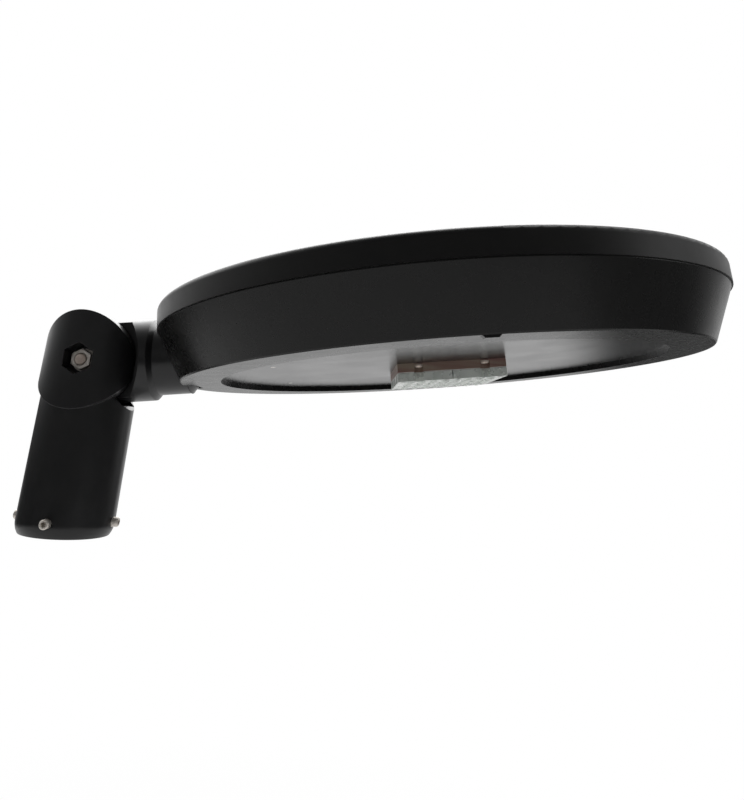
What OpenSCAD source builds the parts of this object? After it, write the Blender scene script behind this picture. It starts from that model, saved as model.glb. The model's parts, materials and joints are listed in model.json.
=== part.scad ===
// Round LED street light with a tilting knuckle for a 60 mm pole.
// Origin: axis of the pole socket at its mouth. +Z runs up the pole, +X points to the lamp head.
// The head is drawn at its rest tilt. The knuckle turns about the hinge bolt, which lies along Y.

/* [Pole sleeve] */
// Outer diameter of the sleeve that slips over the pole
sleeve_d = 80; // [78:1:90]
// Bore of the sleeve, for a 60 mm pole
bore_d = 64; // [61:1:66]
// Depth of the bore from the mouth
socket_depth = 84; // [60:1:86]
// Height of the hinge bolt above the mouth
hinge_h = 146; // [144:1:200]
// Radius that draws the sleeve in towards its mouth
end_round = 20; // [18:1:30]
// Height over which the sleeve is drawn in
end_h = 11; // [10:1:15]
// Diameter of the pole clamping screws
clamp_d = 8; // [6:1:10]
// Height of the clamping screws above the mouth
clamp_z = 12; // [10:1:24]
// Length by which the clamping screws stand out of the sleeve
clamp_out = 5; // [2:0.5:10]

/* [Knuckle] */
// Diameter of the knuckle's barrel about the sleeve's axis
barrel_d = 88; // [86:1:96]
// Radius of the fork's round cheeks
cheek_r = 42.5; // [41.5:0.5:44]
// Offset of the cheeks' centre from the hinge bolt, away from the arm
cheek_back = 1.5; // [0:0.5:3]
// Thickness of the arm's tongue between the cheeks
tongue_t = 30; // [24:1:34]
// Radius of the tongue's round end
tongue_r = 40; // [36:0.5:40.5]
// Radius of the saddle that ends the collar round the cheeks
saddle_r = 50; // [48.5:0.5:52]
// Thickness of one friction washer
friction_t = 1.5; // [1:0.25:2.5]
// Diameter of the friction washers
friction_d = 60; // [40:1:70]
// Running clearance between the tongue and each friction washer
play = 0.3; // [0.2:0.05:0.5]
// Diameter of the hinge bolt
bolt_d = 10; // [8:1:12]
// Width across flats of the bolt's head and nut
bolt_af = 16; // [14:1:18]
// Width across flats of the pockets in the cheeks
pocket_af = 24; // [21:1:26]
// Thickness of a cheek left under its pocket
pocket_floor = 9.2; // [7:0.2:11]

/* [Arm] */
// Diameter of the collar next to the knuckle
collar_d = 74; // [72:1:75]
// Distance from the hinge bolt to the end of the collar
collar_end = 56; // [53:1:60]
// Chamfer from the collar down to the neck
collar_bevel = 4; // [3:0.5:6]
// Diameter of the neck that enters the head
neck_d = 65; // [60:1:66]
// Length of the neck from the collar to its end in the head
neck_len = 33.5; // [32.5:0.5:50]
// Depth of the neck's end inside the edge of the seam
neck_in = 27; // [25:0.5:28]
// Wire passage through the neck
neck_bore_d = 40; // [30:1:42]
// Wire passage through the tongue
wire_hole_d = 11; // [8:1:12]
// Tilt of the head in the rest position, from square to the sleeve
rest_tilt = 8; // [5:1:20]

/* [Head] */
// Diameter of the lower housing at the seam
seam_d = 502; // [450:1:550]
// Width by which the lower housing draws in from the seam to its bottom rim
cone_draft = 17.5; // [12:0.5:24]
// Width of the bottom ring, from the rim to the opening
ring_w = 34; // [29:0.5:44]
// Height of the seam above the rim
seam_z = 43; // [40:1:48]
// Height of the hinge bolt above the rim
hinge_over_rim = 27; // [26:0.5:29]
// Overhang of the top housing over the seam
band_over = 1.5; // [0.5:0.5:6]
// Height of the top housing's side band
band_h = 18.2; // [17:0.2:24]
// Rounding of the top housing's upper edge
band_round = 5; // [3:0.5:6]
// Rise of the dome over the band
dome_rise = 12; // [6:1:20]
// Wall of both housings
wall = 3; // [2.5:0.1:3.5]
// Thickness of the seam gasket
gasket_t = 1.2; // [0.8:0.1:2]
// Width of the flange under the gasket
flange_w = 18; // [16:1:20]
// Thickness of the bottom ring, and so the depth of the recess
ring_t = 5; // [4:0.5:6]
// Thickness of the bottom plate
plate_t = 2; // [1.5:0.25:3]
// Width of the plate's edge that lies on the bottom ring
plate_lap = 8; // [7:0.5:10]
// Number of screws that hold the two housings together
housing_screws = 6; // [4:1:8]

/* [LED module] */
// Side of the square LED module
module_w = 95; // [90:1:100]
// Offset of the module from the head's centre, away from the arm
module_x = 4.5; // [0:0.5:8]
// Thickness of the module's heat spreader
spreader_t = 7.5; // [6:0.5:9]
// Thickness of the module's seal
seal_t = 1; // [0.8:0.1:1.5]
// Height of the clear lens panels
lens_h = 7; // [6:0.5:9]
// Number of light points along each side of the module
led_rows = 8; // [4:2:8]
// Distance between the screws on one side of the module
module_screw_pitch = 58; // [50:1:62]

/* [Gear inside the head] */
// Length of the LED driver
driver_l = 150; // [130:1:160]
// Width of the LED driver
driver_w = 62; // [50:1:66]
// Height of the LED driver
driver_h = 34; // [28:1:36]
// Height of the heat sink's fins
fin_h = 26; // [18:1:30]
// Number of fins on the heat sink
fins = 13; // [9:2:15]

/* [Hidden] */

$fn = 96;
eps = 0.01;
// Clearance of bolts and screws in their holes
slip = 0.05;
// Clearance between castings that meet along a curve
fit = 0.15;
far = 400;

// Knuckle
slot_w = tongue_t + 2 * (play + friction_t);
pocket_y = slot_w / 2 + pocket_floor;
washer_t = 1.5;
washer_d = 20;
nut_h = 8;
head_h = 6.4;
bolt_tail = 2;
// Rise of the centre of the cheeks' wider lower arc
cheek_low = 2.5;
sleeve_top = hinge_h - cheek_r / 2;
slot_clear = 1;
// Height of the bolt over the open sides of the slot
slot_low = 10;
wire_z = -19;
wire_room = 13;
passage_w = wire_hole_d + 3;
// Distance from the bolt at which the sleeve's bevel would cross the arm's axis
bevel_x = 0.6;
clamp_tip = bore_d / 2 + 0.5;
clamp_edge = 0.8;
clamp_socket = 5;
hex_round = 1.1547;

// Arm and head joint: the neck ends against a wall that hangs from the top housing
neck_r = neck_d / 2;
neck_start = collar_end + collar_bevel;
neck_end = neck_start + neck_len;
neck_x = neck_in - seam_d / 2;
// Distance from the hinge bolt to the centre of the round head
reach = neck_end - neck_x;
neck_edge = 5;
collar_start = 10;
arm_gasket_t = 1;
mount_wall_t = 8;
mount_wall_w = 84;
mount_wall_low = 0.5;
gusset_l = 28;
gusset_t = 6;
arm_screw_r = 23.8;
arm_screw_l = 10;
arm_screw_d = 5;
gland_d = 20;
gland_in = 6;
gland_af = 24;
gland_nut_h = 5;
gland_cap_d = 21;
gland_cap_h = 6;
gland_end_d = 14;
gland_end_h = 5;
gland_bore_d = 10;

// Head
rim_d = seam_d - 2 * cone_draft;
mouth_d = rim_d - 2 * ring_w;
band_d = seam_d + 2 * band_over;
seam_top = seam_z + gasket_t;
band_top = seam_top + band_h;
band_r = band_d / 2;
edge_r = band_r - band_round;
dome_r = (edge_r * edge_r + dome_rise * dome_rise) / (2 * dome_rise);
rim_edge = 1;
lip_h = 1;
skirt_w = 4;
gasket_gap = 0.3;
plate_r = mouth_d / 2 + plate_lap;
screw_ring_r = seam_d / 2 - flange_w / 2 - 2;
housing_screw_d = 5;
boss_r = 6.5;
screw_sink = 8;
screw_pocket_d = 10.5;
screw_depth = 15;
boss_floor = 5;
lug_w = 12;
lug_l = 6;
lug_h = 1.8;
plate_screw_d = 4;
plate_screws_n = 8;
plate_hole_floor = 1.5;
plate_screw_r = mouth_d / 2 + plate_lap / 2;

// LED module, hung under the plate
spreader_z = ring_t - spreader_t;
board_t = 1.6;
led_side = 3.5;
led_h = 0.8;
lens_wall = 2.2;
lens_gap = 0.8;
lens_top = spreader_z - seal_t;
lens_low = lens_top - lens_h;
led_pitch = 0.86 * module_w / led_rows;
seal_w = lens_wall + 1;
dome_d = led_pitch * 0.85;
dome_sink = dome_d * 0.3;
lens_screw_inset = 5;
lens_screw_d = 3;
lens_post_r = 4;
post_side = module_w / 2 - lens_screw_inset - lens_post_r;
lens_screw_in = 2;
lens_screw_sink = 2;
lens_screw_room = 0.2;
lens_clear = 0.5;
notch_r = 4.5;
screw_inset = 2.5;
notch_floor = 1.2;
spreader_screw_d = 4;
spreader_screw_in = 3.5;
lead_hole_d = 7;
lead_x = -3 * led_pitch;

// Gear
plate_top = ring_t + plate_t;
sink_t = 5;
sink_w = 120;
fin_t = 2;
fin_pitch = (sink_w - fin_t) / (fins - 1);
lead_y = fin_pitch / 2;
lead_d = 5;
lead_bend = 14;
lead_sink = 8;
tray_t = 2;
tray_edge = 5;
driver_foot = 10;
driver_foot_t = 2;
driver_screw_d = 4;
// The tray starts clear of the gussets that hold the wall for the arm
tray_x = neck_x + arm_gasket_t + mount_wall_t + gusset_l + tray_edge;
driver_x = tray_x + tray_edge + driver_w / 2;
// Surge protector and terminal block, on the two sides of the lead
extras_x = driver_x + driver_w / 2 + 2;
extras_w = 24;
extras_gap = 15;
surge_l = 58;
surge_h = 22;
terminal_l = 48;
terminal_h = 20;
terminal_hole_d = 7;
terminal_pitch = 15;

// Places

module at_hinge() {
    translate([0, 0, hinge_h])
        children();
}

// Frame of the arm: hinge at the origin, +X along the arm
module at_arm() {
    at_hinge()
        rotate([0, -rest_tilt, 0])
            children();
}

// Frame of the head: centre of the disc at the height of the rim, +Z square to the disc
module at_head() {
    at_arm()
        translate([reach, 0, -hinge_over_rim])
            children();
}

module at_module() {
    at_head()
        translate([module_x, 0, 0])
            children();
}

// Cylinder along Y, centred
module rod_y(r, l) {
    rotate([90, 0, 0])
        cylinder(r = r, h = l, center = true);
}

// Cylinder along +X from x0
module rod_x(r, x0, l) {
    translate([x0, 0, 0])
        rotate([0, 90, 0])
            cylinder(r = r, h = l);
}

// Bar that turns about Y, from an outline drawn in X and Z
module bar_y(l) {
    rotate([90, 0, 0])
        linear_extrude(height = l, center = true)
            children();
}

module hexagon(af, h) {
    cylinder(d = af * hex_round, h = h, $fn = 6);
}

module ring_of(n, r, start = 0) {
    for (i = [0 : n - 1])
        rotate([0, 0, start + i * 360 / n])
            translate([r, 0, 0])
                children();
}

function pan_d(d) = 1.9 * d;

// Pan head screw that points down, with its head's seat at z = 0
module pan_screw(d, l) {
    head_d = pan_d(d);
    side_h = 0.4 * d;
    top_h = 0.26 * d;
    translate([0, 0, -l])
        cylinder(d = d, h = l, $fn = 32);
    difference() {
        union() {
            cylinder(d = head_d, h = side_h, $fn = 40);
            translate([0, 0, side_h])
                cylinder(d1 = head_d, d2 = head_d * 0.72, h = top_h, $fn = 40);
        }
        translate([0, 0, side_h * 0.75])
            hexagon(0.62 * d, side_h + top_h);
    }
}

// Hexagon with its far corners taken off, for the bolt's head and the nut
module hex_head(af, h) {
    intersection() {
        hexagon(af, h);
        cylinder(d1 = af * 1.75, d2 = af * 0.96, h = h);
    }
}

// Pole sleeve

// Cheeks seen along the bolt: round above, with a wider arc where they meet the sleeve
module cheek_outline() {
    translate([-cheek_back, 0]) {
        circle(r = cheek_r, $fn = 128);
        intersection() {
            translate([0, cheek_low])
                circle(r = cheek_r + cheek_low, $fn = 128);
            translate([-cheek_r, -2 * cheek_r])
                square(2 * cheek_r);
        }
    }
}

// Space that the tongue and the arm sweep between the cheeks
module slot_outline() {
    circle(r = tongue_r + slot_clear, $fn = 128);
    intersection() {
        circle(r = saddle_r + slot_clear, $fn = 128);
        translate([0, -far / 2])
            square(far);
    }
    translate([-far / 2, -slot_low])
        square(far);
}

// Tube of the sleeve, drawn in towards its mouth
module sleeve_tube() {
    core_r = sleeve_d / 2 - end_round;
    translate([0, 0, end_h])
        cylinder(d = sleeve_d, h = socket_depth - end_h);
    rotate_extrude()
        intersection() {
            square([sleeve_d, end_h]);
            union() {
                square([core_r, end_h]);
                translate([core_r, end_h])
                    circle(r = end_round, $fn = 128);
            }
        }
}

// The sleeve's tube up to the stop for the pole. It is one casting with the fork over it.
module pole_sleeve() {
    color("#1c1c1e")
        difference() {
            sleeve_tube();
            translate([0, 0, -eps])
                cylinder(d = bore_d, h = socket_depth + 1);
            ring_of(4, 0)
                translate([0, 0, clamp_z])
                    rod_x(clamp_d / 2, bore_d / 4, sleeve_d);
        }
}

// The casting over the stop: floor with the wire passage, and the two cheeks of the knuckle
module knuckle_fork() {
    color("#1c1c1e")
        difference() {
            union() {
                difference() {
                    translate([0, 0, socket_depth])
                        cylinder(d = sleeve_d, h = sleeve_top - socket_depth);
                    // Bevel that lets the collar's lower corner come down
                    at_hinge()
                        bar_y(far)
                            polygon([[bevel_x, 0], [bevel_x + sleeve_d, -sleeve_d],
                                [far, -sleeve_d], [far, 0]]);
                }
                intersection() {
                    at_hinge()
                        bar_y(barrel_d + 2)
                            cheek_outline();
                    translate([0, 0, hinge_h - far / 4])
                        cylinder(d = barrel_d, h = far / 2);
                }
            }
            at_hinge() {
                bar_y(slot_w)
                    slot_outline();
                rod_y(bolt_d / 2 + slip, far);
                for (side = [0, 180])
                    rotate([0, 0, side])
                        translate([0, pocket_y, 0])
                            rotate([-90, 0, 0])
                                rotate([0, 0, 30])
                                    hexagon(pocket_af, far / 4);
                // Wire passage from the bore up to the slot
                translate([-(tongue_r + passage_w) / 2, -passage_w / 2, -far / 4])
                    cube([passage_w, passage_w, far / 4 - tongue_r / 2]);
            }
        }
}

// Clamping screws with a socket in their outer end, and tips just clear of the pole's bore
module clamp_screws() {
    end = sleeve_d / 2 + clamp_out;
    color("#b9bcc0")
        ring_of(4, 0)
            translate([0, 0, clamp_z])
                difference() {
                    union() {
                        rod_x(clamp_d / 2, clamp_tip, end - clamp_edge - clamp_tip);
                        translate([end - clamp_edge - eps, 0, 0])
                            rotate([0, 90, 0])
                                cylinder(r1 = clamp_d / 2, r2 = clamp_d / 2 - clamp_edge,
                                    h = clamp_edge + eps);
                    }
                    translate([end - clamp_socket, 0, 0])
                        rotate([0, 90, 0])
                            hexagon(clamp_d / 2, 2 * clamp_socket);
                }
}

// Hinge hardware. The nut is on the -Y side.

module hinge_bolt() {
    seat = pocket_y + washer_t;
    color("#b9bcc0")
        at_hinge() {
            rotate([90, 0, 0])
                translate([0, 0, -seat])
                    cylinder(d = bolt_d, h = 2 * seat + nut_h + bolt_tail, $fn = 48);
            translate([0, seat, 0])
                rotate([-90, 0, 0])
                    hex_head(bolt_af, head_h);
        }
}

module hinge_nut() {
    color("#b9bcc0")
        at_hinge()
            translate([0, -pocket_y - washer_t, 0])
                rotate([90, 0, 0])
                    difference() {
                        hex_head(bolt_af, nut_h);
                        translate([0, 0, -1])
                            cylinder(d = bolt_d, h = nut_h + 2, $fn = 48);
                    }
}

module hinge_washers() {
    color("#b9bcc0")
        at_hinge()
            for (side = [-1, 1])
                translate([0, side * (pocket_y + washer_t / 2), 0])
                    difference() {
                        rod_y(washer_d / 2, washer_t);
                        rod_y(bolt_d / 2 + slip, 2 * washer_t);
                    }
}

module friction_washers() {
    color("#5b5248")
        at_hinge()
            for (side = [-1, 1])
                translate([0, side * (slot_w - friction_t) / 2, 0])
                    difference() {
                        rod_y(friction_d / 2, friction_t);
                        rod_y(bolt_d / 2 + slip, 2 * friction_t);
                    }
}

// Arm

module arm_body() {
    // Tongue with its round end about the bolt
    rod_y(tongue_r, tongue_t);
    intersection() {
        rod_x(collar_d / 2, 0, collar_end);
        translate([0, -tongue_t / 2, -collar_d])
            cube([far, tongue_t, 2 * collar_d]);
    }
    // Collar, cut to a saddle round the cheeks
    difference() {
        rod_x(collar_d / 2, collar_start, collar_end - collar_start);
        rod_y(saddle_r, collar_d + 2);
    }
    translate([collar_end, 0, 0])
        rotate([0, 90, 0])
            cylinder(d1 = collar_d, d2 = neck_d, h = collar_bevel);
    rod_x(neck_r, collar_end - eps, neck_end - neck_edge - collar_end);
    translate([neck_end - neck_edge - 2 * eps, 0, 0])
        rotate([0, 90, 0])
            cylinder(r1 = neck_r, r2 = neck_r - neck_edge, h = neck_edge + 2 * eps);
}

// Pocket in the tongue's round end that keeps the wires free while the arm tilts
module wire_pocket() {
    bar_y(wire_hole_d + 2)
        difference() {
            intersection() {
                circle(r = tongue_r + 1, $fn = 128);
                scale(2 * tongue_r)
                    polygon([[0, 0], [-1, 0.7], [-1, -0.7], [-0.35, -1]]);
            }
            circle(r = tongue_r - wire_room, $fn = 96);
        }
}

module arm() {
    color("#1c1c1e")
        at_arm()
            difference() {
                arm_body();
                rod_y(bolt_d / 2 + slip, 2 * tongue_t);
                rod_x(neck_bore_d / 2, collar_end, far);
                wire_pocket();
                translate([0, 0, wire_z])
                    rod_x(wire_hole_d / 2, -tongue_r, tongue_r + collar_end + 1);
                arm_screw_places()
                    cylinder(d = arm_screw_d, h = 2 * arm_screw_l + 2, center = true, $fn = 32);
            }
}

// The four places of the arm's screws, on the end face of the neck, with +Z along the arm
module arm_screw_places() {
    for (turn = [45 : 90 : 315])
        rotate([turn, 0, 0])
            translate([neck_end, 0, arm_screw_r])
                rotate([0, 90, 0])
                    children();
}

module arm_gasket() {
    color("#101010")
        at_arm()
            difference() {
                rod_x(neck_r - neck_edge, neck_end, arm_gasket_t);
                rod_x(gland_d / 2, neck_end - 1, arm_gasket_t + 2);
                arm_screw_places()
                    cylinder(d = arm_screw_d, h = 6, center = true, $fn = 32);
            }
}

module arm_screws() {
    color("#b9bcc0")
        at_arm()
            arm_screw_places()
                translate([0, 0, arm_gasket_t + mount_wall_t])
                    pan_screw(arm_screw_d, arm_gasket_t + mount_wall_t + arm_screw_l);
}

module cable_gland() {
    out = neck_end + arm_gasket_t + mount_wall_t;
    color("#2a2a2c")
        at_arm()
            difference() {
                union() {
                    rod_x(gland_d / 2, neck_end - gland_in, out - neck_end + gland_in + eps);
                    translate([out, 0, 0])
                        rotate([0, 90, 0])
                            hexagon(gland_af, gland_nut_h);
                    rod_x(gland_cap_d / 2, out + gland_nut_h - eps, gland_cap_h);
                    translate([out + gland_nut_h + gland_cap_h - 2 * eps, 0, 0])
                        rotate([0, 90, 0])
                            cylinder(d1 = gland_cap_d, d2 = gland_end_d, h = gland_end_h);
                }
                rod_x(gland_bore_d / 2, 0, far);
            }
}

// Top housing

// Half section of the top housing's outside, pulled in by a wall
module top_section(inset) {
    translate([0, seam_top])
        square([band_r - inset, band_h - band_round]);
    translate([0, seam_top])
        square([edge_r, band_h - inset]);
    translate([edge_r, band_top - band_round])
        circle(r = band_round - inset, $fn = 48);
    intersection() {
        translate([0, band_top + dome_rise - dome_r - inset])
            circle(r = dome_r, $fn = 1440);
        translate([0, seam_top])
            square([edge_r, far]);
    }
}

// Everything under the middle of the top housing's wall, which trims what hangs from it
module under_dome() {
    rotate_extrude($fn = 256) {
        top_section(wall / 2);
        square([seam_d / 2 - flange_w, seam_top + eps]);
    }
}

module neck_hole(past = 0) {
    translate([-reach, 0, hinge_over_rim])
        rod_x(neck_r + fit, collar_end, neck_end + past - collar_end);
}

module housing_screw_places() {
    ring_of(housing_screws, screw_ring_r, 30)
        children();
}

module top_housing() {
    color("#1c1c1e")
        at_head()
            difference() {
                union() {
                    rotate_extrude($fn = 256)
                        difference() {
                            union() {
                                top_section(0);
                                // Skirt round the gasket, down to the lower housing
                                translate([band_r - skirt_w, seam_z])
                                    square([skirt_w, gasket_t + wall / 2]);
                            }
                            difference() {
                                union() {
                                    top_section(wall);
                                    translate([0, seam_top - 1])
                                        square([seam_d / 2 - flange_w, 2]);
                                }
                                translate([seam_d / 2 - flange_w, 0])
                                    square([far, seam_top + wall]);
                            }
                        }
                    intersection() {
                        under_dome();
                        union() {
                            housing_screw_places()
                                translate([0, 0, seam_top])
                                    cylinder(r = boss_r, h = far, $fn = 40);
                            mount_wall();
                        }
                    }
                }
                neck_hole();
                housing_screw_places() {
                    translate([0, 0, seam_top - 1])
                        cylinder(d = housing_screw_d + 2 * slip, h = far, $fn = 32);
                    translate([0, 0, band_top - screw_sink])
                        cylinder(d = screw_pocket_d, h = far, $fn = 40);
                }
            }
}

// Wall inside the top housing that the arm is screwed to, with two gussets
module mount_wall() {
    x0 = neck_x + arm_gasket_t;
    low = ring_t + mount_wall_low;
    difference() {
        union() {
            translate([x0, -mount_wall_w / 2, low])
                cube([mount_wall_t, mount_wall_w, far]);
            for (side = [-1, 1])
                translate([x0 + mount_wall_t, side * (mount_wall_w - gusset_t) / 2, 0])
                    bar_y(gusset_t)
                        polygon([[-eps, low], [gusset_l, band_top], [gusset_l, far], [-eps, far]]);
        }
        translate([-reach, 0, hinge_over_rim]) {
            rod_x(gland_d / 2, neck_end, 3 * mount_wall_t);
            arm_screw_places()
                cylinder(d = arm_screw_d + 2 * slip, h = 4 * mount_wall_t, center = true, $fn = 32);
        }
    }
}

// Lower housing

module lower_section() {
    seam_r = seam_d / 2;
    rim_r = rim_d / 2;
    slope = (seam_r - rim_r) / (seam_z - lip_h);
    difference() {
        polygon([[mouth_d / 2, 0], [rim_r - rim_edge, 0], [rim_r, rim_edge],
            [seam_r, seam_z - lip_h], [seam_r, seam_z], [mouth_d / 2, seam_z]]);
        polygon([[0, ring_t], [rim_r + slope * ring_t - wall, ring_t],
            [rim_r + slope * (seam_z - wall) - wall, seam_z - wall],
            [seam_r - flange_w, seam_z - wall], [seam_r - flange_w, seam_z + 1], [0, seam_z + 1]]);
    }
}

// Small cast lug under the rim, at the side of the head
module rim_lug() {
    translate([0, -rim_d / 2 + rim_edge + lug_l / 2, 0])
        rotate([90, 0, 0])
            linear_extrude(height = lug_l, center = true)
                polygon([[-lug_w / 2, eps], [lug_w / 2, eps], [lug_w / 2 - lug_h, -lug_h],
                    [lug_h - lug_w / 2, -lug_h]]);
}

module lower_housing() {
    color("#1c1c1e")
        at_head()
            difference() {
                union() {
                    rotate_extrude($fn = 256)
                        lower_section();
                    rim_lug();
                    intersection() {
                        housing_screw_places()
                            translate([0, 0, seam_z - screw_depth - boss_floor])
                                cylinder(r = boss_r, h = screw_depth + boss_floor, $fn = 40);
                        rotate_extrude($fn = 256)
                            polygon([[0, 0], [rim_d / 2 - 1, 0], [seam_d / 2 - 1, seam_z - lip_h],
                                [seam_d / 2 - 1, seam_z], [0, seam_z]]);
                    }
                }
                neck_hole(arm_gasket_t + fit);
                housing_screw_places()
                    translate([0, 0, seam_z - screw_depth - 1])
                        cylinder(d = housing_screw_d, h = far, $fn = 32);
                plate_screw_places()
                    translate([0, 0, plate_hole_floor])
                        cylinder(d = plate_screw_d, h = ring_t, $fn = 32);
            }
}

module housing_gasket() {
    color("#0c0c0c")
        at_head()
            difference() {
                translate([0, 0, seam_z])
                    cylinder(r = band_r - skirt_w - gasket_gap, h = gasket_t, $fn = 256);
                translate([0, 0, seam_z - 1])
                    cylinder(r = seam_d / 2 - flange_w, h = gasket_t + 2, $fn = 256);
                neck_hole();
                housing_screw_places()
                    translate([0, 0, seam_z - 1])
                        cylinder(d = housing_screw_d, h = gasket_t + 2, $fn = 32);
            }
}

module housing_screws() {
    seat = band_top - screw_sink;
    color("#b9bcc0")
        at_head()
            housing_screw_places()
                translate([0, 0, seat])
                    pan_screw(housing_screw_d, seat - seam_z + screw_depth);
}

module plate_screw_places() {
    ring_of(plate_screws_n, plate_screw_r, 22.5)
        children();
}

module bottom_plate() {
    color("#202022")
        at_head()
            difference() {
                translate([0, 0, ring_t])
                    cylinder(r = plate_r, h = plate_t, $fn = 256);
                translate([0, 0, ring_t - 1]) {
                    driver_screw_places()
                        cylinder(d = driver_screw_d, h = plate_t + 2, $fn = 32);
                    plate_screw_places()
                        cylinder(d = plate_screw_d + 2 * slip, h = plate_t + 2, $fn = 32);
                    translate([module_x, 0, 0]) {
                        spreader_screw_places()
                            cylinder(d = spreader_screw_d + 2 * slip, h = plate_t + 2, $fn = 32);
                        translate([lead_x, lead_y, 0])
                            cylinder(d = lead_hole_d, h = plate_t + 2, $fn = 40);
                    }
                }
            }
}

module plate_screws() {
    color("#b9bcc0")
        at_head()
            plate_screw_places()
                translate([0, 0, plate_top])
                    pan_screw(plate_screw_d, plate_top - plate_hole_floor - 0.5);
}

// Heat sink and LED module

module spreader_screw_places() {
    for (x = [-1, 1], y = [-1, 1])
        translate([x * module_screw_pitch / 2, y * (module_w / 2 - screw_inset), 0])
            children();
}

module heat_sink() {
    color("#9a9da1")
        at_module()
            difference() {
                translate([0, 0, plate_top])
                    union() {
                        translate([-sink_w / 2, -sink_w / 2, 0])
                            cube([sink_w, sink_w, sink_t]);
                        for (i = [0 : fins - 1])
                            translate([-sink_w / 2, -sink_w / 2 + i * fin_pitch, sink_t - eps])
                                cube([sink_w, fin_t, fin_h + eps]);
                    }
                spreader_screw_places()
                    translate([0, 0, plate_top - 1])
                        cylinder(d = spreader_screw_d, h = sink_t, $fn = 32);
                translate([lead_x, lead_y, plate_top - 1])
                    cylinder(d = lead_hole_d, h = far, $fn = 40);
            }
}

// Outline of the module, drawn in from its edge, with notches round the screws on two sides
module module_outline(inset) {
    difference() {
        square(module_w - 2 * inset, center = true);
        for (x = [-1, 1], y = [-1, 1])
            translate([x * module_screw_pitch / 2, y * (module_w / 2 - screw_inset)])
                circle(r = notch_r + inset, $fn = 48);
    }
}

module lens_post_outline(r) {
    panel_w = (module_w - lens_gap) / 2;
    for (side = [-1, 1], x = [lens_screw_inset, panel_w - lens_screw_inset], y = [-1, 1])
        translate([side * (lens_gap / 2 + x), y * (module_w / 2 - lens_screw_inset)])
            circle(r = r, $fn = 40);
}

module heat_spreader() {
    color("#8a5a44")
        at_module()
            difference() {
                translate([-module_w / 2, -module_w / 2, spreader_z])
                    cube([module_w, module_w, spreader_t]);
                spreader_screw_places() {
                    translate([0, 0, spreader_z - 1])
                        cylinder(r = notch_r, h = spreader_t - notch_floor + 1, $fn = 48);
                    translate([0, 0, spreader_z])
                        cylinder(d = spreader_screw_d + 2 * slip, h = far, $fn = 32);
                }
                translate([lead_x, lead_y, spreader_z - 1])
                    cylinder(d = lead_hole_d, h = far, $fn = 40);
                translate([0, 0, spreader_z - 1])
                    linear_extrude(height = spreader_t - 1)
                        lens_post_outline(lens_screw_d / 2);
            }
}

module spreader_screws() {
    color("#c9ccd0")
        at_module()
            spreader_screw_places()
                translate([0, 0, ring_t - notch_floor])
                    mirror([0, 0, 1])
                        pan_screw(spreader_screw_d, notch_floor + plate_t + spreader_screw_in);
}

module led_board() {
    color("#e8e8e2")
        at_module()
            translate([0, 0, spreader_z - board_t])
                linear_extrude(height = board_t)
                    difference() {
                        module_outline(seal_w + 0.3);
                        lens_post_outline(lens_post_r + 0.3);
                        for (y = [-1, 1])
                            translate([0, y * module_w / 2])
                                square([2 * lens_screw_inset, module_w - 2 * post_side + 0.6], center = true);
                    }
}

// Centres of the light points, in rows over the module
module led_places() {
    for (i = [0 : led_rows - 1], j = [0 : led_rows - 1])
        translate([(i - (led_rows - 1) / 2) * led_pitch, (j - (led_rows - 1) / 2) * led_pitch, 0])
            children();
}

module leds() {
    color("#e9d36a")
        at_module()
            led_places()
                translate([-led_side / 2, -led_side / 2, spreader_z - board_t - led_h])
                    cube([led_side, led_side, led_h]);
}

module lens_seal() {
    color("#d8d8d4")
        at_module()
            translate([0, 0, lens_top])
                linear_extrude(height = seal_t)
                    difference() {
                        union() {
                            difference() {
                                module_outline(0.4);
                                module_outline(seal_w);
                            }
                            intersection() {
                                module_outline(0.4);
                                lens_post_outline(lens_post_r);
                            }
                        }
                        lens_post_outline(lens_screw_d / 2 + slip);
                    }
}

// Small lens dome under a light point, with its flat side sunk in the panel
module lens_dome() {
    rotate_extrude($fn = 32)
        intersection() {
            translate([0, dome_sink])
                circle(d = dome_d, $fn = 48);
            translate([0, -dome_d])
                square([dome_d, dome_d + 0.5]);
        }
}

module lens_panels() {
    color("#cfe0e6")
        at_module() {
            led_places()
                translate([0, 0, lens_low])
                    lens_dome();
            difference() {
                translate([0, 0, lens_low])
                    linear_extrude(height = lens_h)
                        module_outline(0);
                // Hollow over the board and its light points
                translate([0, 0, lens_low + lens_wall])
                    linear_extrude(height = lens_h)
                        difference() {
                            module_outline(lens_wall);
                            lens_post_outline(lens_post_r);
                            square([lens_gap + 2 * lens_wall, far], center = true);
                        }
                // Room for the board over the walls on both sides of the gap
                translate([-lens_gap / 2 - lens_wall - lens_clear, -post_side, spreader_z - board_t - slip])
                    cube([lens_gap + 2 * (lens_wall + lens_clear), 2 * post_side, lens_h]);
                translate([-lens_gap / 2, -far / 2, lens_low - far / 2])
                    cube([lens_gap, far, far]);
                translate([0, 0, lens_low - 1])
                    linear_extrude(height = far)
                        lens_post_outline(lens_screw_d / 2 + slip);
                translate([0, 0, lens_low - far + lens_screw_sink])
                    linear_extrude(height = far)
                        lens_post_outline(pan_d(lens_screw_d) / 2 + lens_screw_room);
            }
        }
}

module lens_screws() {
    panel_w = (module_w - lens_gap) / 2;
    color("#55585c")
        at_module()
            for (side = [-1, 1], x = [lens_screw_inset, panel_w - lens_screw_inset], y = [-1, 1])
                translate([side * (lens_gap / 2 + x), y * (module_w / 2 - lens_screw_inset),
                        lens_low + lens_screw_sink])
                    mirror([0, 0, 1])
                        pan_screw(lens_screw_d, lens_h + seal_t + lens_screw_in);
}

// Gear

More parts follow.
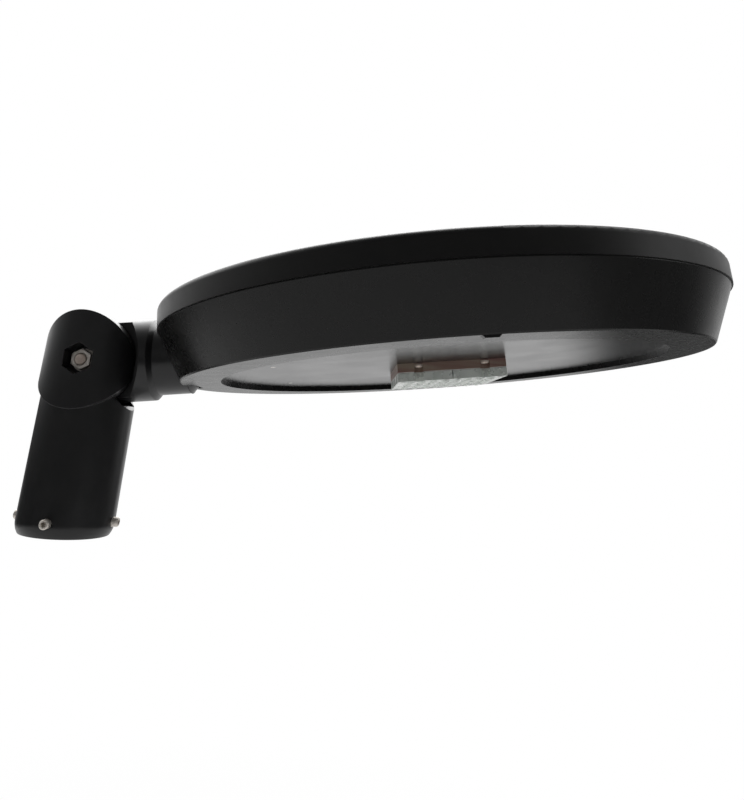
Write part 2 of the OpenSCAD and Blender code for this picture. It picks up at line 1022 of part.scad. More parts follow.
module gear_tray() {
    tray_w = driver_l + 2 * (driver_foot + tray_edge);
    color("#b4b7ba")
        at_head()
            translate([0, 0, plate_top])
                difference() {
                    translate([tray_x, -tray_w / 2, 0])
                        cube([extras_x + extras_w + tray_edge - tray_x, tray_w, tray_t]);
                    driver_screw_places()
                        translate([0, 0, -1])
                            cylinder(d = driver_screw_d + 2 * slip, h = tray_t + 2, $fn = 32);
                }
}

module driver_screw_places() {
    for (y = [-1, 1])
        translate([driver_x, y * (driver_l + driver_foot) / 2, 0])
            children();
}

module led_driver() {
    color("#d5d7d9")
        at_head()
            translate([0, 0, plate_top + tray_t])
                difference() {
                    union() {
                        translate([driver_x - driver_w / 2, -driver_l / 2, 0])
                            cube([driver_w, driver_l, driver_h]);
                        translate([driver_x - driver_w / 2, -driver_l / 2 - driver_foot, 0])
                            cube([driver_w, driver_l + 2 * driver_foot, driver_foot_t]);
                    }
                    driver_screw_places()
                        translate([0, 0, -1])
                            cylinder(d = driver_screw_d + 2 * slip, h = driver_foot_t + 2, $fn = 32);
                }
}

module driver_screws() {
    color("#b9bcc0")
        at_head()
            driver_screw_places()
                translate([0, 0, plate_top + tray_t + driver_foot_t])
                    pan_screw(driver_screw_d, driver_foot_t + tray_t + plate_t);
}

module surge_protector() {
    color("#3d5a80")
        at_head()
            translate([extras_x, lead_y + extras_gap, plate_top + tray_t])
                cube([extras_w, surge_l, surge_h]);
}

module terminal_block() {
    color("#e8e4d8")
        at_head()
            translate([extras_x, lead_y - extras_gap - terminal_l, plate_top + tray_t])
                difference() {
                    cube([extras_w, terminal_l, terminal_h]);
                    for (i = [-1 : 1])
                        translate([extras_w / 2, terminal_l / 2 + i * terminal_pitch, terminal_h * 0.6])
                            cylinder(d = terminal_hole_d, h = terminal_h, $fn = 32);
                }
}

// Lead from the driver over the plate, between two fins and down to the LED board
module module_leads() {
    run_z = plate_top + tray_t + driver_h - lead_sink;
    start = driver_x + driver_w / 2;
    drop_x = module_x + lead_x;
    color("#c8413a")
        at_head()
            translate([0, lead_y, 0]) {
                translate([start, 0, run_z])
                    rotate([0, 90, 0])
                        cylinder(d = lead_d, h = drop_x - lead_bend - start, $fn = 32);
                translate([drop_x - lead_bend, 0, run_z - lead_bend])
                    rotate([90, 0, 0])
                        rotate_extrude(angle = 90, $fn = 48)
                            translate([lead_bend, 0])
                                circle(d = lead_d, $fn = 32);
                translate([drop_x, 0, spreader_z])
                    cylinder(d = lead_d, h = run_z - lead_bend - spreader_z, $fn = 32);
            }
}

pole_sleeve();
knuckle_fork();
clamp_screws();
hinge_bolt();
hinge_nut();
hinge_washers();
friction_washers();
arm();
arm_gasket();
arm_screws();
cable_gland();
top_housing();
lower_housing();
housing_gasket();
housing_screws();
bottom_plate();
plate_screws();
heat_sink();
heat_spreader();
spreader_screws();
led_board();
leds();
lens_seal();
lens_panels();
lens_screws();
gear_tray();
led_driver();
driver_screws();
surge_protector();
terminal_block();
module_leads();
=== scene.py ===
import json
import math

import bmesh
import bpy
from mathutils import Matrix, Vector


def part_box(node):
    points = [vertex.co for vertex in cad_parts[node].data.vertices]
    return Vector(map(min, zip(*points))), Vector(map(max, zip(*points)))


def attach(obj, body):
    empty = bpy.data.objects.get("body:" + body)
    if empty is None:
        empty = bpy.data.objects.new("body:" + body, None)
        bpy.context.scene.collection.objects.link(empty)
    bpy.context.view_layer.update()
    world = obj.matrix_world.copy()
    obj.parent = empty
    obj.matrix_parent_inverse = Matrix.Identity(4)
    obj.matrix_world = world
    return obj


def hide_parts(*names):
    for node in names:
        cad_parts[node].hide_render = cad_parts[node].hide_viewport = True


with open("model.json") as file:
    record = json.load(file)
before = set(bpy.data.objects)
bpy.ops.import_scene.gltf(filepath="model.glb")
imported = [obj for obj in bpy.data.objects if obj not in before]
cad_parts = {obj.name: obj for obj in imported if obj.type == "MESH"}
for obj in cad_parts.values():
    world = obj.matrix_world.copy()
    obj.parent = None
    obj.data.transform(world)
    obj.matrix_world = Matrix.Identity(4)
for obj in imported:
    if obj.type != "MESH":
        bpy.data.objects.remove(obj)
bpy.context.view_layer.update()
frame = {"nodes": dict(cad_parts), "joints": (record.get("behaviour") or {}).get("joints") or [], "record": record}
nodes = frame["nodes"]

# Directions of the arm and the head, which stand at their rest tilt, in the part's axes
REST_TILT = math.radians(8.0)
HEAD_DROP = 0.027
HINGE = Vector((0.0, 0.0, frame["joints"][0]["pos_m"][2]))
ARM_X = Vector((math.cos(REST_TILT), 0.0, math.sin(REST_TILT)))
ARM_Z = Vector((-math.sin(REST_TILT), 0.0, math.cos(REST_TILT)))


# Node materials

NOISE_ROUGHNESS = 0.55
# The middle part of a noise's values, which a ramp spreads over its whole range
NOISE_FROM, NOISE_TO = 0.35, 0.65


def new_material(name):
    mat = bpy.data.materials.new(name)
    mat.use_nodes = True
    tree = mat.node_tree
    tree.nodes.clear()
    out = tree.nodes.new("ShaderNodeOutputMaterial")
    bsdf = tree.nodes.new("ShaderNodeBsdfPrincipled")
    tree.links.new(bsdf.outputs[0], out.inputs["Surface"])
    return mat, tree, bsdf


def noise(tree, scale, detail=3.0, stretch=None):
    tex = tree.nodes.new("ShaderNodeTexNoise")
    tex.inputs["Scale"].default_value = scale
    tex.inputs["Detail"].default_value = detail
    tex.inputs["Roughness"].default_value = NOISE_ROUGHNESS
    vector = tree.nodes.new("ShaderNodeTexCoord").outputs["Object"]
    if stretch:
        mapping = tree.nodes.new("ShaderNodeMapping")
        mapping.inputs["Scale"].default_value = stretch
        tree.links.new(vector, mapping.inputs["Vector"])
        vector = mapping.outputs[0]
    tree.links.new(vector, tex.inputs["Vector"])
    return tex.outputs["Fac"]


def ramp(tree, fac, low, high, start=NOISE_FROM, end=NOISE_TO):
    node = tree.nodes.new("ShaderNodeMapRange")
    node.inputs["From Min"].default_value = start
    node.inputs["From Max"].default_value = end
    node.inputs["To Min"].default_value = low
    node.inputs["To Max"].default_value = high
    tree.links.new(fac, node.inputs["Value"])
    return node.outputs[0]


def colours(tree, fac, first, second):
    node = tree.nodes.new("ShaderNodeValToRGB")
    node.color_ramp.elements[0].position = NOISE_FROM
    node.color_ramp.elements[0].color = (*first, 1.0)
    node.color_ramp.elements[1].position = NOISE_TO
    node.color_ramp.elements[1].color = (*second, 1.0)
    tree.links.new(fac, node.inputs["Fac"])
    return node.outputs["Color"]


def bump(tree, bsdf, height, distance):
    node = tree.nodes.new("ShaderNodeBump")
    node.inputs["Strength"].default_value = 1.0
    node.inputs["Distance"].default_value = distance
    tree.links.new(height, node.inputs["Height"])
    tree.links.new(node.outputs[0], bsdf.inputs["Normal"])


def surface(name, first, second, rough, metallic=0.0, colour_scale=40.0,
            grain=900.0, grain_depth=0.00001, stretch=None, ior=1.5):
    """Two close colours, two close roughnesses and a fine grain, each led by its own noise."""
    mat, tree, bsdf = new_material(name)
    tint = noise(tree, colour_scale, 4.0, stretch=stretch)
    tree.links.new(colours(tree, tint, first, second), bsdf.inputs["Base Color"])
    wear = noise(tree, colour_scale * 2.3, 3.0, stretch=stretch)
    tree.links.new(ramp(tree, wear, *rough), bsdf.inputs["Roughness"])
    bsdf.inputs["Metallic"].default_value = metallic
    bsdf.inputs["IOR"].default_value = ior
    bump(tree, bsdf, noise(tree, grain, 2.0, stretch=stretch), grain_depth)
    return mat


powder = surface("black_powder_coat", (0.0052, 0.0052, 0.0052), (0.0072, 0.0071, 0.0069),
                 (0.365, 0.395), colour_scale=30.0, grain=750.0, grain_depth=0.000005,
                 ior=1.3)
# Painted light: the arm and sleeve take a lighter copy of the one black powder coat, so they render brighter than
# the head
powder_arm_painted_light = surface("black_powder_coat_arm_painted_light", (0.0066, 0.0066, 0.0072),
                     (0.0092, 0.0092, 0.0098), (0.285, 0.315), colour_scale=45.0,
                     grain=750.0, grain_depth=0.000005, ior=1.43)
# Painted shade: the lower housing takes a darker copy of the one black powder coat, so its downward-facing cone
# renders darker
powder_painted_shade = surface("black_powder_coat_painted_shade", (0.0034, 0.0034, 0.0033),
                     (0.0048, 0.0048, 0.0046), (0.26, 0.29), colour_scale=30.0,
                     grain=750.0, grain_depth=0.0000015, ior=1.31)
sheet = surface("black_coated_sheet", (0.006, 0.006, 0.0062), (0.0085, 0.0085, 0.0088),
                (0.22, 0.27), colour_scale=9.0, grain=420.0, grain_depth=0.0000012,
                ior=1.55)
steel = surface("stainless", (0.58, 0.54, 0.49), (0.74, 0.70, 0.65), (0.38, 0.52),
                metallic=0.6, colour_scale=160.0, grain=1500.0, grain_depth=0.000006)
bolt_steel = surface("bolt_steel", (0.46, 0.38, 0.33), (0.60, 0.52, 0.46), (0.45, 0.6),
                     metallic=0.6, colour_scale=220.0, grain=1800.0, grain_depth=0.00001)
insert = surface("nylon_insert", (0.012, 0.010, 0.010), (0.022, 0.019, 0.018), (0.4, 0.5),
                 colour_scale=300.0, grain=1500.0, grain_depth=0.00001)
dark_steel = surface("dark_steel", (0.06, 0.06, 0.06), (0.12, 0.12, 0.12), (0.35, 0.5),
                     metallic=1.0, colour_scale=160.0, grain=1500.0, grain_depth=0.000006)
copper = surface("spreader_copper", (0.21, 0.115, 0.10), (0.27, 0.215, 0.165), (0.36, 0.5),
                 metallic=0.35, colour_scale=14.0, grain=600.0, grain_depth=0.000008,
                 stretch=(1.0, 1.0, 14.0))
aluminium = surface("extruded_aluminium", (0.55, 0.56, 0.57), (0.66, 0.67, 0.68),
                    (0.28, 0.4), metallic=1.0, colour_scale=60.0, grain=900.0,
                    grain_depth=0.00001, stretch=(0.1, 1.0, 1.0))
zinc = surface("galvanised_sheet", (0.42, 0.43, 0.44), (0.60, 0.61, 0.62), (0.32, 0.5),
               metallic=1.0, colour_scale=120.0, grain=300.0, grain_depth=0.00001)
rubber = surface("gasket_rubber", (0.012, 0.012, 0.012), (0.02, 0.02, 0.02), (0.6, 0.75),
                 colour_scale=80.0, grain=1200.0, grain_depth=0.00003)
nylon = surface("black_nylon", (0.018, 0.018, 0.019), (0.028, 0.028, 0.03), (0.4, 0.5),
                colour_scale=80.0, grain=900.0, grain_depth=0.00002)
liner = surface("friction_liner", (0.09, 0.07, 0.055), (0.16, 0.13, 0.10), (0.75, 0.9),
                colour_scale=500.0, grain=1800.0, grain_depth=0.00005)
white_mask = surface("board_white", (0.74, 0.74, 0.70), (0.82, 0.82, 0.79), (0.25, 0.35),
                     colour_scale=90.0, grain=600.0, grain_depth=0.00001)
phosphor = surface("led_phosphor", (0.80, 0.72, 0.42), (0.86, 0.80, 0.52), (0.3, 0.45),
                   colour_scale=900.0, grain=2500.0, grain_depth=0.00001)
silicone = surface("seal_silicone", (0.5, 0.5, 0.48), (0.62, 0.62, 0.6), (0.4, 0.55),
                   colour_scale=120.0, grain=900.0, grain_depth=0.00002)
driver_paint = surface("driver_case", (0.56, 0.57, 0.58), (0.68, 0.69, 0.70), (0.3, 0.42),
                       metallic=0.9, colour_scale=50.0, grain=800.0, grain_depth=0.00001)
surge_blue = surface("surge_case", (0.035, 0.075, 0.15), (0.05, 0.10, 0.19), (0.4, 0.5),
                     colour_scale=60.0, grain=900.0, grain_depth=0.00002)
cream = surface("terminal_nylon", (0.62, 0.59, 0.50), (0.70, 0.67, 0.58), (0.4, 0.5),
                colour_scale=60.0, grain=900.0, grain_depth=0.00002)
red = surface("lead_insulation", (0.38, 0.03, 0.025), (0.46, 0.05, 0.04), (0.4, 0.5),
              colour_scale=60.0, grain=900.0, grain_depth=0.00002)


def lens_material():
    mat, tree, bsdf = new_material("lens_clear")
    tree.links.new(colours(tree, noise(tree, 60.0), (0.64, 0.68, 0.64), (0.74, 0.77, 0.73)),
                   bsdf.inputs["Base Color"])
    tree.links.new(ramp(tree, noise(tree, 120.0), 0.22, 0.34), bsdf.inputs["Roughness"])
    bsdf.inputs["Transmission Weight"].default_value = 0.3
    bsdf.inputs["IOR"].default_value = 1.49
    bump(tree, bsdf, noise(tree, 220.0, 2.0), 0.000008)
    return mat


lens_clear = lens_material()

LOOKS = {
    "pole_sleeve": powder_arm_painted_light, "knuckle_fork": powder_arm_painted_light, "arm": powder_arm_painted_light,
    "top_housing": powder, "lower_housing": powder_painted_shade, "bottom_plate": sheet,
    "clamp_screws": steel, "hinge_bolt": bolt_steel, "hinge_nut": steel,
    "hinge_washers": steel, "arm_screws": steel, "housing_screws": steel,
    "plate_screws": dark_steel, "spreader_screws": bolt_steel, "driver_screws": steel,
    "lens_screws": dark_steel, "friction_washers": liner, "arm_gasket": rubber,
    "housing_gasket": rubber, "cable_gland": nylon, "heat_sink": aluminium,
    "heat_spreader": copper, "led_board": white_mask, "leds": phosphor,
    "lens_seal": silicone, "lens_panels": lens_clear, "gear_tray": zinc,
    "led_driver": driver_paint, "surge_protector": surge_blue, "terminal_block": cream,
    "module_leads": red,
}
for name, look in LOOKS.items():
    data = nodes[name].data
    data.materials.clear()
    data.materials.append(look)

BODY = {node: body for body, names in frame["record"]["behaviour"]["bodies"].items()
        for node in names}


# Pieces that replace CAD nodes

WELD = 2e-6
# Edges that turn by more than this are softened, those that turn by less are left alone
EDGE_ANGLE = math.radians(28.0)


def add_piece(name, bm, look, node, replace=True):
    mesh = bpy.data.meshes.new(name)
    bm.normal_update()
    bm.to_mesh(mesh)
    bm.free()
    mesh.materials.append(look)
    obj = bpy.data.objects.new(name, mesh)
    bpy.context.scene.collection.objects.link(obj)
    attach(obj, BODY[node])
    if replace:
        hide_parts(node)
    return obj


def welded(node):
    """The solid of a node with its doubled points joined."""
    bm = bmesh.new()
    bm.from_mesh(nodes[node].data)
    bmesh.ops.remove_doubles(bm, verts=bm.verts, dist=WELD)
    return bm


def merge_flat_faces(bm, degrees):
    bmesh.ops.dissolve_limit(bm, angle_limit=math.radians(degrees),
                             use_dissolve_boundaries=False, verts=bm.verts, edges=bm.edges)


def soften(obj, width):
    mod = obj.modifiers.new("soft_edges", "BEVEL")
    mod.width = width
    mod.segments = 2
    mod.limit_method = "ANGLE"
    mod.angle_limit = EDGE_ANGLE
    mod.use_clamp_overlap = False
    mod.harden_normals = True
    for face in obj.data.polygons:
        face.use_smooth = True
    flat = obj.modifiers.new("even_shading", "WEIGHTED_NORMAL")
    flat.keep_sharp = True
    flat.weight = 100


def casting(name, node, width):
    """The solid of a node with its sharp edges softened, as on a painted casting."""
    bm = welded(node)
    merge_flat_faces(bm, 0.15)
    soften(add_piece(name, bm, LOOKS[node], node), width)


casting("arm_casting", "arm", 0.0004)
casting("spreader_block", "heat_spreader", 0.00025)

# The top housing with the exact shading of its turned outside: band, rounded edge and dome.
# HEAD is the head's own origin, and its axes are ARM_X, Y and ARM_Z.
HEAD_REACH = 0.3175
HEAD = HINGE + HEAD_REACH * ARM_X - HEAD_DROP * ARM_Z
BAND_R, BAND_ROUND, DOME_RISE = 0.2525, 0.005, 0.012
SEAM_Z, BAND_H = 0.0442, 0.0182
BAND_TOP = SEAM_Z + BAND_H
EDGE_R = BAND_R - BAND_ROUND
DOME_R = (EDGE_R ** 2 + DOME_RISE ** 2) / (2.0 * DOME_RISE)
to_head = Matrix(((ARM_X.x, 0.0, ARM_X.z), (0.0, 1.0, 0.0), (ARM_Z.x, 0.0, ARM_Z.z)))
from_head = to_head.transposed()

# How far a point of the mesh may lie from the exact surface and still take its direction
ON_SURFACE, PAST_END, NEAR_END = 2e-4, 1e-4, 1e-5


def outside_normal(p, n):
    """The exact outward direction of the turned outside at p, or None away from it."""
    flat = Vector((p.x, p.y, 0.0))
    r = flat.length
    if r < 1e-6:
        return None
    out = flat / r
    side = n.x * out.x + n.y * out.y
    if (abs(r - BAND_R) < ON_SURFACE and p.z < BAND_TOP - BAND_ROUND + PAST_END
            and side > 0.95):
        return out
    if r > EDGE_R - NEAR_END and p.z > BAND_TOP - BAND_ROUND - PAST_END:
        v = Vector((r - EDGE_R, p.z - (BAND_TOP - BAND_ROUND)))
        if abs(v.length - BAND_ROUND) < ON_SURFACE:
            v.normalize()
            return out * v.x + Vector((0.0, 0.0, v.y))
        return None
    centre = Vector((0.0, 0.0, BAND_TOP + DOME_RISE - DOME_R))
    v = p - centre
    if r <= EDGE_R + NEAR_END and abs(v.length - DOME_R) < ON_SURFACE and n.z > 0.9:
        return v.normalized()
    return None


def sharp_edges(mesh, degrees):
    bm = bmesh.new()
    bm.from_mesh(mesh)
    bm.edges.ensure_lookup_table()
    limit = math.radians(degrees)
    result = [len(e.link_faces) != 2 or e.calc_face_angle(0.0) > limit for e in bm.edges]
    bm.free()
    return result


def top_shell():
    bm = welded("top_housing")
    for face in bm.faces:
        face.smooth = True
    mesh = add_piece("top_shell", bm, LOOKS["top_housing"], "top_housing").data
    for edge, sharp in zip(mesh.edges, sharp_edges(mesh, 25.0)):
        edge.use_edge_sharp = sharp
    base = [Vector(n.vector) for n in mesh.corner_normals]
    wanted = []
    for poly in mesh.polygons:
        face_n = to_head @ poly.normal
        for loop in poly.loop_indices:
            p = to_head @ (mesh.vertices[mesh.loops[loop].vertex_index].co - HEAD)
            exact = outside_normal(p, face_n)
            # A corner of a screw pocket touches the outside, but its face looks elsewhere
            if exact is not None and exact.dot(face_n) < 0.8:
                exact = None
            wanted.append(base[loop] if exact is None else from_head @ exact)
    mesh.normals_split_custom_set(wanted)


top_shell()


def union_casting(name, first, second, width):
    """Two nodes of one casting, joined into one skin with softened edges."""
    parts = []
    for node in (first, second):
        bm = welded(node)
        mesh = bpy.data.meshes.new(node + "_weld")
        bm.to_mesh(mesh)
        bm.free()
        mesh.materials.append(LOOKS[first])
        parts.append(bpy.data.objects.new(node + "_weld", mesh))
        bpy.context.scene.collection.objects.link(parts[-1])
    body, other = parts
    joint_z = max(v.co.z for v in body.data.vertices)
    join = body.modifiers.new("join", "BOOLEAN")
    join.operation = "UNION"
    join.solver = "EXACT"
    join.object = other
    bpy.context.view_layer.update()
    done = body.evaluated_get(bpy.context.evaluated_depsgraph_get())
    bm = bmesh.new()
    bm.from_mesh(done.to_mesh())
    for part in parts:
        bpy.data.objects.remove(part)
    bmesh.ops.remove_doubles(bm, verts=bm.verts, dist=2.0 * WELD)
    merge_flat_faces(bm, 0.3)
    # The ring where the two nodes meet lies in one smooth wall, so it takes no bevel
    sharp = bm.edges.layers.float.new("bevel_weight_edge")
    for edge in bm.edges:
        meets = all(abs(v.co.z - joint_z) < 2e-5 for v in edge.verts)
        if len(edge.link_faces) == 2 and not meets and edge.calc_face_angle(0.0) > EDGE_ANGLE:
            edge[sharp] = 1.0
    obj = add_piece(name, bm, LOOKS[first], first)
    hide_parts(second)
    soften(obj, width)
    obj.modifiers["soft_edges"].limit_method = "WEIGHT"


union_casting("sleeve_casting", "pole_sleeve", "knuckle_fork", 0.0004)


# Lock nut with its insert, and the bolt with a cut thread and a chamfered head

def turned(rings, count, close=True):
    """A closed skin through rings of (radius, height), each a number or a function of the
    angle, about +Z. close puts a flat face on both ends, and else the last ring joins the
    first."""
    bm = bmesh.new()
    grid = []
    for radius, height in rings:
        row = []
        for i in range(count):
            a = 2.0 * math.pi * i / count
            r = radius(a) if callable(radius) else radius
            h = height(a) if callable(height) else height
            row.append(bm.verts.new((r * math.cos(a), r * math.sin(a), h)))
        grid.append(row)
    for low, high in zip(grid, grid[1:]):
        for i in range(count):
            j = (i + 1) % count
            bm.faces.new((low[i], low[j], high[j], high[i]))
    if close:
        bm.faces.new(list(reversed(grid[0])))
        bm.faces.new(grid[-1])
    else:
        for i in range(count):
            j = (i + 1) % count
            bm.faces.new((grid[-1][i], grid[-1][j], grid[0][j], grid[0][i]))
    return bm


def hex_radius(flats):
    def radius(a):
        part = (a + math.pi / 6.0) % (math.pi / 3.0) - math.pi / 6.0
        return flats / 2.0 / math.cos(part)
    return radius


def along_y(bm, start, side):
    """Turns a piece made about +Z so that it runs along Y at the hinge, from y = start."""
    turn = Matrix.Rotation(-side * math.pi / 2.0, 4, "X")
    bmesh.ops.transform(bm, matrix=Matrix.Translation(HINGE + Vector((0.0, start, 0.0))) @ turn,
                        verts=bm.verts)
    return bm


def smooth(obj):
    for face in obj.data.polygons:
        face.use_smooth = True
    edge = obj.modifiers.new("split", "EDGE_SPLIT")
    edge.split_angle = math.radians(35.0)


FLATS = 0.016
face_r = 0.485 * FLATS
corner = hex_radius(FLATS)
nut_low, nut_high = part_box("hinge_nut")
nut_y0, nut_y1 = nut_high[1], nut_low[1]
nut_h = nut_y0 - nut_y1


def chamfer(a):
    """How far the round chamfer has cut down the hexagon's side at the angle a."""
    return (corner(a) - face_r) * 0.55


NUT_BORE_R, INSERT_R = 0.0051, 0.00503
nut = turned([(NUT_BORE_R, 0.0), (face_r, 0.0), (corner, chamfer),
              (corner, lambda a: nut_h - chamfer(a)), (face_r, nut_h), (0.0057, nut_h),
              (0.0053, nut_h - 0.0003), (NUT_BORE_R, nut_h - 0.0012)], 96, close=False)
smooth(add_piece("hex_nut", along_y(nut, nut_y0, -1), steel, "hinge_nut"))
ring = turned([(INSERT_R, nut_h - 0.0016), (0.00545, nut_h - 0.0006),
               (0.00525, nut_h - 0.0003), (INSERT_R, nut_h - 0.0006)], 64, close=False)
smooth(add_piece("nut_insert", along_y(ring, nut_y0, -1), insert, "hinge_nut",
                 replace=False))

bolt_low, bolt_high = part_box("hinge_bolt")
HEAD_H = 0.0064
SHANK_R = 0.00495
THREAD_PITCH = 0.0015
THREAD_ROOT_R, THREAD_DEPTH, THREAD_SLOPE = 0.00448, 0.0005, 2.6
RINGS_PER_TURN = 8.0
shank = bolt_high[1] - bolt_low[1] - HEAD_H
thread_from = shank - nut_h - 0.006
ring_step = THREAD_PITCH / RINGS_PER_TURN
steps = int((shank - 0.0006 - thread_from) / ring_step)


def thread_radius(height):
    def radius(a):
        t = (height / THREAD_PITCH + a / (2.0 * math.pi)) % 1.0
        return THREAD_ROOT_R + THREAD_DEPTH * min(1.0, THREAD_SLOPE * abs(t - 0.5))
    return radius


rings = [(0.0, -HEAD_H), (0.0055, -HEAD_H), (face_r - 0.0004, -HEAD_H + 0.0001),
         (face_r, -HEAD_H + 0.0003), (corner, lambda a: -HEAD_H + 0.0003 + chamfer(a)),
         (corner, -0.0004), (face_r, -0.0001), (0.0049, 0.0), (SHANK_R, 0.001),
         (SHANK_R, thread_from)]
for i in range(1, steps + 1):
    h = thread_from + i * THREAD_PITCH / RINGS_PER_TURN
    rings.append((thread_radius(h), h))
rings += [(0.0043, shank - 0.0003), (0.0040, shank), (0.0038, shank)]
bolt = turned(rings, 60)
smooth(add_piece("bolt_body", along_y(bolt, bolt_high[1] - HEAD_H, -1), bolt_steel,
                 "hinge_bolt"))


# Camera: a pinhole fitted to the head's rim and seam, with its place and its three angles
# in the axes of the fitted head

PAN, PITCH, ROLL = -0.0889, 0.2609, -0.0654
AZIMUTH = math.radians(8.0)
FIT_REACH = 0.316
FIT_UNIT = 0.25
EYE = Vector((0.0, -2.4732, -0.2109))
FOCAL_PX, SHIFT_PX, PICTURE_PX = 650.0, -139.0, 800.0
SENSOR_MM = 36.0


def from_disc(v):
    """A direction in the fitted head's axes, given in the part's axes."""
    x = v.x * math.cos(AZIMUTH) + v.y * math.sin(AZIMUTH)
    y = -v.x * math.sin(AZIMUTH) + v.y * math.cos(AZIMUTH)
    return x * ARM_X + y * Vector((0.0, 1.0, 0.0)) + v.z * ARM_Z


cp, sp = math.cos(PAN), math.sin(PAN)
ct, st = math.cos(PITCH), math.sin(PITCH)
cr, sr = math.cos(ROLL), math.sin(ROLL)
forward = Vector((sp * ct, cp * ct, st))
level = Vector((cp, -sp, 0.0))
upright = level.cross(forward)
right = cr * level + sr * upright
up = -sr * level + cr * upright

cam_data = bpy.data.cameras.new("photo_camera")
cam_data.sensor_fit = "AUTO"
cam_data.sensor_width = SENSOR_MM
cam_data.lens = FOCAL_PX / PICTURE_PX * SENSOR_MM
cam_data.shift_x = 0.0
cam_data.shift_y = SHIFT_PX / PICTURE_PX
cam_data.clip_start = 0.01
cam_data.clip_end = 100.0
camera = bpy.data.objects.new("photo_camera", cam_data)
bpy.context.scene.collection.objects.link(camera)
fit_origin = HINGE + FIT_REACH * ARM_X - HEAD_DROP * ARM_Z
place = fit_origin + from_disc(EYE * FIT_UNIT)
r, u, f = from_disc(right), from_disc(up), from_disc(forward)
camera.matrix_world = Matrix(((r.x, u.x, -f.x, place.x), (r.y, u.y, -f.y, place.y),
                              (r.z, u.z, -f.z, place.z), (0.0, 0.0, 0.0, 1.0)))
bpy.context.scene.camera = camera


# Floor, world and lamps

WHITE = (1.0, 1.0, 1.0, 1.0)
FLOOR_HALF = 3.0
FLOOR_Z = -1.0
# The share of the floor's white that a mirror-like surface sees
GLOSSY_SHARE = 0.15


def math_node(tree, operation, first, second):
    node = tree.nodes.new("ShaderNodeMath")
    node.operation = operation
    for socket, value in zip(node.inputs, (first, second)):
        if isinstance(value, (int, float)):
            socket.default_value = value
        else:
            tree.links.new(value, socket)
    return node.outputs[0]


def seen_directly(tree, path):
    """1 for a ray from the camera or through glass, 0 for any other."""
    return math_node(tree, "MAXIMUM", path.outputs["Is Camera Ray"],
                     path.outputs["Is Transmission Ray"])


def mix_into(tree, out, share, first, second):
    mix = tree.nodes.new("ShaderNodeMixShader")
    tree.links.new(share, mix.inputs[0])
    tree.links.new(first.outputs[0], mix.inputs[1])
    tree.links.new(second.outputs[0], mix.inputs[2])
    tree.links.new(mix.outputs[0], out.inputs["Surface"])


def floor_material():
    mat = bpy.data.materials.new("pale_floor")
    mat.use_nodes = True
    tree = mat.node_tree
    tree.nodes.clear()
    out = tree.nodes.new("ShaderNodeOutputMaterial")
    diffuse = tree.nodes.new("ShaderNodeBsdfDiffuse")
    tree.links.new(colours(tree, noise(tree, 6.0), (0.68, 0.68, 0.68), (0.70, 0.70, 0.70)),
                   diffuse.inputs["Color"])
    glow = tree.nodes.new("ShaderNodeEmission")
    glow.inputs["Color"].default_value = WHITE
    path = tree.nodes.new("ShaderNodeLightPath")
    mirrored = math_node(tree, "MULTIPLY", path.outputs["Is Glossy Ray"], GLOSSY_SHARE)
    seen = math_node(tree, "MAXIMUM", seen_directly(tree, path), mirrored)
    # The shadow shows near the object, and the floor ends in plain white
    coord = tree.nodes.new("ShaderNodeTexCoord")
    length = tree.nodes.new("ShaderNodeVectorMath")
    length.operation = "LENGTH"
    tree.links.new(coord.outputs["Object"], length.inputs[0])
    far_share = ramp(tree, length.outputs["Value"], 0.8, 1.0, 1.0, 2.4)
    share = math_node(tree, "MULTIPLY", seen, far_share)
    mix_into(tree, out, share, diffuse, glow)
    return mat


floor_mesh = bpy.data.meshes.new("pale_floor")
floor_mesh.from_pydata([(x * FLOOR_HALF, y * FLOOR_HALF, FLOOR_Z)
                        for x, y in ((-1, -1), (1, -1), (1, 1), (-1, 1))], [], [(0, 1, 2, 3)])
floor_mesh.materials.append(floor_material())
floor = bpy.data.objects.new("pale_floor", floor_mesh)
bpy.context.scene.collection.objects.link(floor)

# The studio: a lit backdrop behind the object, dim to both sides and towards the camera, and
# a wide soft light overhead. Each ring of lights has stops of (degrees from straight back,
# strength), and the rings follow one another from LOW, under the horizon, up to HIGH.
HIGH = [(-180, 0.16), (-120, 0.20), (-88, 0.7), (-60, 2.1), (-25, 3.6), (20, 3.6), (50, 1.0),
        (105, 0.3), (180, 0.16)]
ABOVE = [(-180, 0.24), (-130, 0.32), (-112, 0.46), (-95, 0.60), (-78, 0.84), (-60, 1.2),
         (-45, 1.15), (-20, 1.7), (18, 1.8), (32, 0.9), (45, 0.7), (62, 0.36), (85, 0.48),
         (105, 0.15), (180, 0.24)]
BELOW = [(-180, 0.26), (-112, 0.16), (-62, 0.05), (-32, 0.05), (-16, 0.6), (0, 0.8),
         (19, 0.8), (24, 0.10), (33, 0.16), (45, 0.66), (56, 0.45), (68, 0.14), (80, 0.08),
         (120, 0.12), (180, 0.26)]
LOW = [(-180, 0.02), (-112, 0.0), (-62, 0.02), (-42, 0.3), (-26, 0.75), (19, 0.80), (24, 0.0),
       (31, 0.0), (38, 0.10), (60, 0.03), (105, 0.20), (130, 0.26), (155, 0.12), (180, 0.02)]


def round_ramp(tree, angle, stops):
    node = tree.nodes.new("ShaderNodeValToRGB")
    band = node.color_ramp
    band.interpolation = "EASE"
    while len(band.elements) < len(stops):
        band.elements.new(0.5)
    for element, (degrees, level) in zip(band.elements, stops):
        element.position = (degrees + 180.0) / 360.0
        element.color = (level, level, level, 1.0)
    tree.links.new(angle, node.inputs["Fac"])
    return node.outputs["Color"]


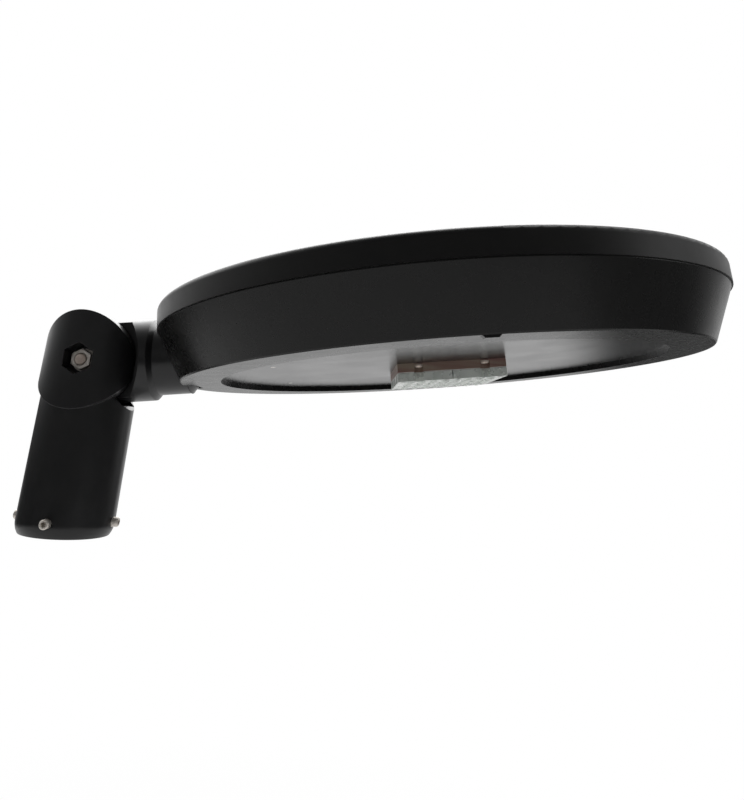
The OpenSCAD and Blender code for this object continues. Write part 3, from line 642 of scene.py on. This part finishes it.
def next_ring(tree, below, above, height, start, end):
    """Blends one ring of lights into the next one up, between two heights of the direction."""
    node = tree.nodes.new("ShaderNodeMix")
    node.data_type = "RGBA"
    tree.links.new(ramp(tree, height, 0.0, 1.0, start, end), node.inputs[0])
    tree.links.new(below, node.inputs[6])
    tree.links.new(above, node.inputs[7])
    return node.outputs[2]


def studio_world():
    world = bpy.data.worlds.new("studio")
    bpy.context.scene.world = world
    world.use_nodes = True
    tree = world.node_tree
    tree.nodes.clear()
    out = tree.nodes.new("ShaderNodeOutputWorld")
    studio = tree.nodes.new("ShaderNodeBackground")
    coord = tree.nodes.new("ShaderNodeTexCoord")
    split = tree.nodes.new("ShaderNodeSeparateXYZ")
    tree.links.new(coord.outputs["Generated"], split.inputs[0])
    around = math_node(tree, "ARCTAN2", split.outputs["X"], split.outputs["Y"])
    around = ramp(tree, around, 0.0, 1.0, -math.pi, math.pi)
    lights = round_ramp(tree, around, LOW)
    for stops, start, end in ((BELOW, -0.11, -0.04), (ABOVE, 0.03, 0.09), (HIGH, 0.22, 0.45)):
        above = round_ramp(tree, around, stops)
        lights = next_ring(tree, lights, above, split.outputs["Z"], start, end)
    tree.links.new(lights, studio.inputs["Color"])
    white = tree.nodes.new("ShaderNodeBackground")
    white.inputs["Color"].default_value = WHITE
    white.inputs["Strength"].default_value = 1.0
    path = tree.nodes.new("ShaderNodeLightPath")
    mix_into(tree, out, seen_directly(tree, path), studio, white)


studio_world()


def lamp(name, place, target, size, power):
    data = bpy.data.lights.new(name, "AREA")
    data.shape = "RECTANGLE"
    data.size, data.size_y = size
    data.energy = power
    obj = bpy.data.objects.new(name, data)
    bpy.context.scene.collection.objects.link(obj)
    obj.location = place
    obj.rotation_euler = (Vector(target) - Vector(place)).to_track_quat("-Z", "Y").to_euler()


lamp("top_softbox", (0.3, 0.9, 1.6), (0.25, 0.0, 0.2), (1.6, 1.0), 12.0)
lamp("left_softbox", (-1.5, 0.3, 1.3), (0.1, 0.0, 0.2), (0.9, 0.9), 3.0)
lamp("right_softbox", (2.0, -0.5, 1.1), (0.3, 0.0, 0.2), (0.7, 1.2), 3.0)

bpy.context.scene.view_settings.view_transform = "Standard"
